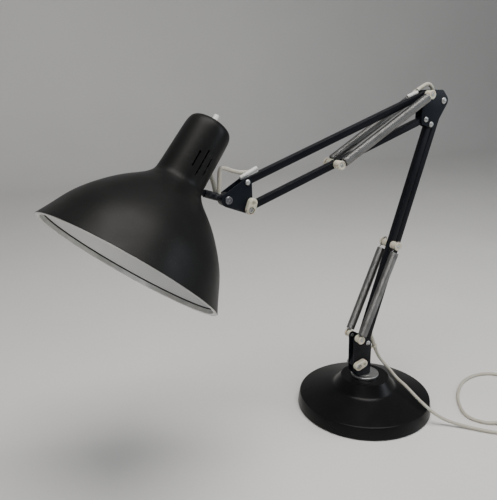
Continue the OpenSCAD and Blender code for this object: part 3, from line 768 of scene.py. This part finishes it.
def pair_of_plates(name, rounds, body, *nodes):
    outline = round_hull(rounds, 48)
    for node, y in zip(nodes, (-PLATE_OUT, PLATE_IN)):
        piece = slab(f"{name}_{node.split('_')[-1]}", outline, y, y + PLATE_T, PLATE_PAINT, 0.00035, 3)
        settle(piece, body, node, slot="bracket_paint")


def build_arms():
    square_tube("lower_main_tube", K, P4, "lower_main", "lower_main_bar")
    slot_at, stretch = 13 * MM, 1.1
    exit_slot = lathe("slot", [(1, 0), (1, 2.7), (9, 2.7), (9, 0)], R1 + LOWER * slot_at,
                      Vector((LOWER.z, 0, -LOWER.x)), BAR_PAINT, 24)
    for vert in exit_slot.data.vertices:
        away = (vert.co - R1).dot(LOWER) - slot_at
        vert.co += LOWER * away * stretch
    square_tube("lower_stay_tube", R1, P2, "lower_stay", "lower_stay_bar", exit_slot)
    square_tube("upper_top_tube", P1, H1, "upper_top", "upper_top_bar")
    square_tube("upper_low_tube", P3, H2, "upper_lower", "upper_lower_bar")
    corner = P1 + plane(25, 0)
    pair_of_plates("elbow_side", [(P1, 5.5 * MM), (corner, 5.5 * MM), (P2 + plane(-1, 0), 8.5 * MM),
                                  (P4 + plane(1.4, 4.2), 9 * MM), (P3, 7.5 * MM)],
                   "elbow", "elbow_plate_front", "elbow_plate_back")
    rivet("elbow_rivet_main", P4, 3.6, 8.4, "elbow", "elbow_main_rivet")
    rivet("elbow_rivet_stay", P2, 4.2, 8.8, "elbow", "elbow_stay_rivet")
    rivet("elbow_rivet_low", P3, 3.6, 8.4, "elbow", "elbow_lower_rivet", hollow=True)
    stud_pin("elbow_stud", P1, "elbow", "elbow_spring_pin")
    bushes("elbow_spacers", P1, 6.6, "elbow", "elbow_bushes")
    stud_pin("upper_draw_pin", D, "upper_lower", "upper_cross_pin")
    bushes("upper_draw_bushes", D, 4.3, "upper_lower", "upper_cross_bushes")


# ---------------------------------------------------------------- head

def build_head():
    pair_of_plates("head_side", [(H1, 5.5 * MM), (H2, 5.5 * MM), (H3, 8.5 * MM)],
                   "head_bracket", "head_plate_front", "head_plate_back")
    rivet("head_rivet", H1, 3.4, 8.6, "head_bracket", "head_top_rivet")
    socket_bolt("head_bolt", H2, "head_bracket", "head_clamp_bolt")
    clamp_lever("head_lever_moulding", H2, 72, 9, "head_lever", "head_clamp_lever")
    front = cross_pin("tilt", H3, [(0, 2.5), (6.6, 2.5), (6.6, 4.6), (8.2, 4.6), (8.7, 4.2), (8.7, 3.2),
                                   (7.7, 2.9), (7.7, 1.6), (8.5, 1.3), (8.6, 0)], DARK_STEEL, -1)
    back = cross_pin("tilt", H3, [(0, 2.5), (10.4, 2.5), (10.4, 0)], ZINC)
    nut = cross_pin("tilt", H3, [(6.5, 2.4), (6.5, 4.3), (6.8, 4.6), (9.4, 4.6), (9.8, 4.2), (9.8, 2.4)],
                    ZINC, 1, 6)
    settle(join("tilt_bolt", [front, back, nut]), "head_bracket", "head_tilt_bolt", slot="zinc")

    # the neck's wall stands this far from the tilt bolt, and the stem goes on through it
    wall = 33.4
    eye = cross_pin("eye", H3, [(-4.5, 2.6), (-4.5, 7.7), (-3.9, 8.3), (3.9, 8.3), (4.5, 7.7), (4.5, 2.6),
                                (-4.5, 2.6)], BAR_PAINT, 1, 64)
    rod = lathe("rod", [(4, 0), (4, 4.6), (wall - 4.5, 4.6), (wall - 4, 4.1), (wall - 4, 3.4),
                        (wall + 7, 3.4), (wall + 7, 5.6), (wall + 9, 5.6), (wall + 9, 0)],
                STEM_ROOT, STEM_DIR, BAR_PAINT)
    settle(join("tilt_stem", [eye, rod]), "stem", "head_stem", slot="black_paint")


SHADE_LEN, MOUTH_R = 189.2, 108.7
# where the white enamel begins and how far it stays from the mouth, in millimetres along the shade; the
# inside of the neck keeps the black paint as painted shade, and so does a thin strip just above the rim band,
# as a painted shadow line
ENAMEL_FROM, ENAMEL_SHORT = 82, 6.4
# distance along the shade's axis from the neck's top, and radius
SHADE_OUTLINE = [(2, 5.2), (2, 10), (2.2, 17), (3.2, 21.2), (5.2, 24.2), (8.5, 26), (14, 27), (24, 27.5),
                 (34, 27.8), (47.3, 28.1), (68, 28.7), (76, 29.1), (80, 29.7), (84, 31.3), (90.8, 36.6),
                 (98, 44.6), (106, 54), (115, 63.2), (124.9, 72), (136, 80.8), (147.6, 88.7), (159, 94.8),
                 (170.3, 99.9), (180, 104.3), (188.4, 108.4)]
# slots in the neck: distance from its top, angle from the front towards the arms, length
VENTS = ((38.5, 3, 33), (44, 21, 22), (44.5, -14, 20))


def slot_tool(start, turn, length):
    """Round-ended cutter for one vent, long along the shade's axis, through the neck's wall."""
    half = 1.0
    radial = SHADE_FRONT * math.cos(turn) + SHADE_TO_ARMS * math.sin(turn)
    flank = SHADE_DIR.cross(radial)
    bm = bmesh.new()
    near, far = [], []
    for end, tilt in ((start + half, math.pi), (start + length - half, 0)):
        for k in range(7):
            a = tilt - math.pi / 2 + math.pi * k / 6
            base = (NECK_TOP + SHADE_DIR * (end + half * math.cos(a)) * MM
                    + flank * half * math.sin(a) * MM)
            near.append(bm.verts.new(base + radial * 20 * MM))
            far.append(bm.verts.new(base + radial * 36 * MM))
    bm.faces.new(near)
    bm.faces.new(far[::-1])
    for k in range(len(near)):
        m = (k + 1) % len(near)
        bm.faces.new((near[k], near[m], far[m], far[k]))
    return from_bmesh("tool", bm, SHADE_PAINT, False)


def build_shade():
    outer = smooth_path([Vector((t, r, 0)) for t, r in SHADE_OUTLINE], 4)
    outer = [(p.x, p.y) for p in outer]
    inner = [(t + (1.0 if t < 8 else 0.35), max(r - 1.0, 4.0)) for t, r in outer[4:]][::-1]
    edge = [(SHADE_LEN - 0.3, MOUTH_R - 0.02), (SHADE_LEN, MOUTH_R - 0.2), (SHADE_LEN, MOUTH_R - 0.9)]
    profile = outer + edge + inner[1:] + [outer[0]]
    shell = lathe("shade_shell", profile, NECK_TOP, SHADE_DIR, SHADE_PAINT, 160, 40)
    tools = [slot_tool(start, math.radians(angle if front else 180 - angle), length)
             for start, angle, length in VENTS for front in (True, False)]
    grommet_dir = (FLEX_NECK[1] - FLEX_NECK[0]).normalized()
    tools.append(lathe("tool", [(-4, 0), (-4, 2.6), (16, 2.6), (16, 0)], FLEX_NECK[0], grommet_dir,
                       SHADE_PAINT, 24))
    tools.append(lathe("tool", [(26, 0), (26, 3.7), (40, 3.7), (40, 0)], STEM_ROOT, STEM_DIR,
                       SHADE_PAINT, 32))
    shell = cut(shell, *tools)
    shell.data.materials.append(WHITE_ENAMEL)
    for face in shell.data.polygons:
        offset = face.center - NECK_TOP
        along = offset.dot(SHADE_DIR)
        radial = offset - SHADE_DIR * along
        inside = radial.length > 0 and face.normal.dot(radial.normalized()) < -0.05
        # painted shade inside the neck and a painted shadow line above the rim band: inside faces outside
        # this span keep the black paint
        if inside and ENAMEL_FROM * MM < along < (SHADE_LEN - ENAMEL_SHORT) * MM:
            face.material_index = 1
    sharpen(shell, 40)
    settle(shell, "shade", "shade", slot="black_paint")

    base, inside = SHADE_LEN - 4.8, MOUTH_R - 5.1
    lip = [(base + 0.2, inside), (base, inside + 0.3), (base, inside + 1.3), (base + 2.4, inside + 2.4),
           (SHADE_LEN + 0.1, inside + 3.6), (SHADE_LEN + 0.1, MOUTH_R - 0.5),
           (SHADE_LEN + 0.4, MOUTH_R - 0.3), (SHADE_LEN + 0.65, MOUTH_R - 0.6),
           (SHADE_LEN + 0.7, MOUTH_R - 2.6), (SHADE_LEN + 0.6, inside + 0.6), (SHADE_LEN + 0.2, inside),
           (base + 0.2, inside)]
    rim = lathe("shade_lip", lip, NECK_TOP, SHADE_DIR, RIM_METAL, 160, 50)
    settle(rim, "shade", "shade_rim", slot="rim_metal")


def build_lamp():
    top, down = NECK_TOP, SHADE_DIR
    housing = lathe("switch_body", [(0.4, 3.6), (0.4, 4.6), (0.7, 5.0), (3.06, 5.0), (3.06, 6.6), (4.1, 6.8),
                                    (4.15, 12.4), (4.5, 13), (9.5, 13), (10.1, 12.5), (10.1, 3.6),
                                    (0.4, 3.6)], top, down, WHITE)
    settle(housing, "shade", "switch_housing", slot="white_plastic")
    button = lathe("push_button", [(-11, 0), (-10.95, 1.2), (-10.7, 2.3), (-10.1, 3.1), (-9.2, 3.45),
                                   (-1, 3.5), (3.2, 3.5), (3.2, 0)], top, down, WHITE)
    settle(button, "button", "switch_button", slot="white_plastic")
    ribs = [(44, 13)]
    for k in range(5):
        z = 44.4 + 4 * k
        ribs += [(z, 18.4), (z + 0.5, 19), (z + 2.6, 19), (z + 3.1, 18.2), (z + 3.9, 18.2)]
    holder = lathe("lamp_socket", [(10.3, 4), (10.3, 14.4), (10.9, 15), (18.6, 15), (19.2, 14.4), (19.3, 13)]
                   + ribs + [(65.4, 19), (66, 18.4), (66, 11.4), (48, 11.4), (48, 4), (10.3, 4)],
                   top, down, BAKELITE, 64)
    settle(holder, "shade", "lamp_holder", slot="black_plastic")
    cap = lathe("bulb_collar", [(50, 0), (50, 8.6), (51, 10.4), (52.2, 11.2), (78.6, 11.2), (79.2, 10.8),
                                (80, 10.8), (80, 0)], top, down, BRASS, 64)
    settle(cap, "shade", "bulb_cap", slot="brass")
    glass = [(80, 0), (80, 11.9), (84, 12.6), (89, 14.8), (96, 19.2), (103, 23.6), (110, 27)]
    glass += [(123 + 29 * math.sin(a), 29 * math.cos(a)) for a in
              (math.radians(-14 + 8 * k) for k in range(13))] + [(152, 0)]
    bulb = lathe("bulb_glass", glass, top, down, OPAL, 64, 80)
    settle(bulb, "shade", "bulb", slot="bulb_glass")


# ---------------------------------------------------------------- flex, sleeves, relief and plug

FLEX_R = 2.5 * MM
# from the hole in the neck to just behind the stem
FLEX_NECK = [Vector(p) * MM for p in ((-232.6, 9.2, 364.5), (-228.4, 8.9, 354), (-226, 8.5, 346),
                                       (-224.8, 7.9, 339), (-224.2, 6.8, 333.8))]


def flex(name, points, nodes=()):
    """Short length of the lamp's flex."""
    piece = sweep(name, smooth_path(points, 6), FLEX_R, CORD_SKIN, 16)
    if nodes:
        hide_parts(*nodes)
    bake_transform(piece)


def build_flex():
    elbow = [(61.2, 444), (64.5, 445.6), (68, 447.4), (72.4, 449.6), (76.5, 451.2), (80.5, 451.1),
             (84.4, 448.8), (87.2, 445), (88.4, 440), (88.6, 434)]
    flex("flex_elbow", [plane(*p) for p in elbow], ["elbow_cord"])
    bar = [(-221.6, 0, 358.6), (-220.9, 0, 362), (-219, 0, 364.4), (-213, 1, 363.1), (-206.9, 2.2, 360.7),
           (-201, 3.6, 358.7), (-195, 4.8, 357), (-189.4, 5.3, 356.2), (-183.9, 5.3, 356),
           (-179.4, 5.3, 356.8)]
    flex("flex_bar", [Vector(p) * MM for p in bar], ["head_cord"])
    loop = [(-222.9, 335), (-222.7, 341), (-222.4, 347), (-222, 353), (-221.6, 358.6)]
    flex("flex_loop", [plane(*p) for p in loop])
    flex("flex_neck", FLEX_NECK, ["neck_cord"])
    foot = [(3.2, 116.4), (5.6, 113.9), (6.8, 110.9), (7.3, 108.2), (7.75, 105.9), (8.42, 104.18)]
    flex("flex_foot", [plane(*p) for p in foot], ["base_cord"])


def sleeve(at, direction, length):
    """Thin white tube that guides the flex."""
    return lathe("sleeve", [(0, 2.1), (0, 2.4), (0.2, 2.5), (length - 0.2, 2.5), (length, 2.4), (length, 2.1),
                            (0, 2.1)], at, direction, WHITE, 24)


def build_sleeves():
    """One sleeve lies on the top bar at the elbow, and one rises off it at the head on a thin web."""
    lying, raised_length, slope = 17, 24, math.radians(25)
    up = Vector((-UPPER.z, 0, UPPER.x)) * -1
    start = H1 - UPPER * 251 * MM + up * (BAR_W / 2 + 2.5 * MM)
    sleeves = [sleeve(start, -UPPER, lying)]
    foot = H1 + UPPER * 4.6 * MM + up * (BAR_W / 2 + 2.6 * MM)
    rise = Vector((math.cos(slope), 0, math.sin(slope)))
    sleeves.append(sleeve(foot, rise, raised_length))
    tip = foot + rise * raised_length * MM
    lower = [H1 + UPPER * (p - H1).dot(UPPER) + up * BAR_W / 2 for p in (tip, foot)]
    raised = [p - up * 2.3 * MM for p in (foot, tip)]
    sleeves.append(slab("web", [(p.x, p.z) for p in raised + lower], -1 * MM, 1 * MM, WHITE, 0.0002, 2))
    settle(join("flex_sleeves", sleeves), "upper_top", "upper_cord_sleeves", slot="white_plastic")


def build_relief():
    top, end = plane(8.5, 104), plane(18, 82)
    run = end - top
    length = run.length / MM
    profile = [(0, 2.1), (0, 2.9), (0.3, 3.1), (2.4, 3.1), (2.7, 2.9)]
    ribs = 8
    for k in range(ribs):
        z = 3.2 + (length - 4) * k / ribs
        r = 3.1 - 0.5 * k / ribs
        profile += [(z, r - 0.3), (z + 0.3, r), (z + 1.5, r - 0.05), (z + 1.8, r - 0.35)]
    profile += [(length, 2.5), (length, 2.1), (0, 2.1)]
    relief = lathe("strain_relief", profile, top, run.normalized(), CORD_SKIN, 32, 50)
    settle(relief, "lower_bracket", "cord_relief", slot="cord_pvc")
    ring = lathe("ring", [(15, 2.95), (15, 3.8), (15.2, 4), (17.2, 4), (17.4, 3.8), (17.4, 2.95),
                          (15, 2.95)], top, run.normalized(), CREAM, 32)
    tab = block("tab", (R1.x + 0.0065, -0.002, 0.0869), (R1.x + 0.0136, 0.002, 0.0883), CREAM)
    settle(join("relief_clip", [ring, tab]), "lower_bracket", "cord_clip", slot="cream_plastic")


def build_plug():
    """Three-pin mains plug lying on its back, pins up, its flex entry towards the coil."""
    turn = COIL_EXIT + math.pi / 2
    place = Matrix.Translation(LEAVE_POINT.xy.to_3d() + LEAVE_DIR * PLUG_FACE) @ Matrix.Rotation(turn, 4, "Z")

    def lay(part):
        part.matrix_world = place
        return part

    outline = round_hull([(plane(8, -17), 8 * MM), (plane(8, 17), 8 * MM), (plane(44, -19), 6 * MM),
                          (plane(44, 19), 6 * MM)], 48)
    bm = bmesh.new()
    levels = ((0.1, 0.96), (1.2, 1.0), (17, 1.0), (22, 0.97), (25.1, 0.93))
    rings = []
    for height, share in levels:
        rings.append([bm.verts.new((25 * MM + (x - 25 * MM) * share, z * share, height * MM))
                      for x, z in outline])
    for low, high in zip(rings, rings[1:]):
        for k in range(len(low)):
            m = (k + 1) % len(low)
            bm.faces.new((low[k], low[m], high[m], high[k]))
    bm.faces.new(rings[0])
    bm.faces.new(rings[-1])
    shell = bevel(from_bmesh("shell", bm, WHITE), 0.0006, 3, 40)
    cover = block("fuse_cover", (0.012, -0.0045, 0.0248), (0.024, 0.0045, 0.0258), WHITE, 0.0004)
    screw = lathe("screw", [(24.9, 3), (25.6, 3), (25.9, 2.6), (25.9, 1), (25.4, 0.8), (25.4, 0)],
                  Vector((0.03, 0, 0)), UPWARDS, ZINC, 24)
    gland = lathe("gland", [(-4, 2.5), (-4, 3.6), (-3.5, 4), (-0.5, 4.6), (1, 4.8), (1, 2.5), (-4, 2.5)],
                  Vector((0, 0, PLUG_Z)), Vector((1, 0, 0)), WHITE, 32)
    body = join("plug_shell", [lay(part) for part in (shell, cover, screw, gland)])
    body = settle(sharpen(body, 40), "lower_bracket", "plug_body", slot="white_plastic")
    pins = []
    for x, y, width, depth, height in ((38, 0, 4, 8, 22.5), (16, -11, 6.3, 4, 17.7), (16, 11, 6.3, 4, 17.7)):
        low = Vector((x - depth / 2, y - width / 2, 25.0)) * MM
        high = Vector((x + depth / 2, y + width / 2, 25.1 + height)) * MM
        pins.append(lay(block("pin", low, high, BRASS, 0.0009, 3)))
    blades = settle(sharpen(join("plug_blades", pins), 40), "lower_bracket", "plug_pins", slot="brass")
    return [body, blades]


build_base()
build_lower_bracket()
build_lower_fittings()
build_arms()
build_springs()
build_head()
build_shade()
build_lamp()
build_flex()
build_sleeves()
build_relief()
plug_pieces = build_plug()

# ---------------------------------------------------------------- CAD nodes that stay

STAYING = {"base_weight": CAST_IRON, "base_pad": RUBBER, "pivot_bush": ZINC, "bracket_spindle": ZINC,
           "spindle_nut": ZINC, "stem_nut": DARK_STEEL}
for name, material in STAYING.items():
    node = frame["nodes"][name]
    node.data.materials.clear()
    node.data.materials.append(material)
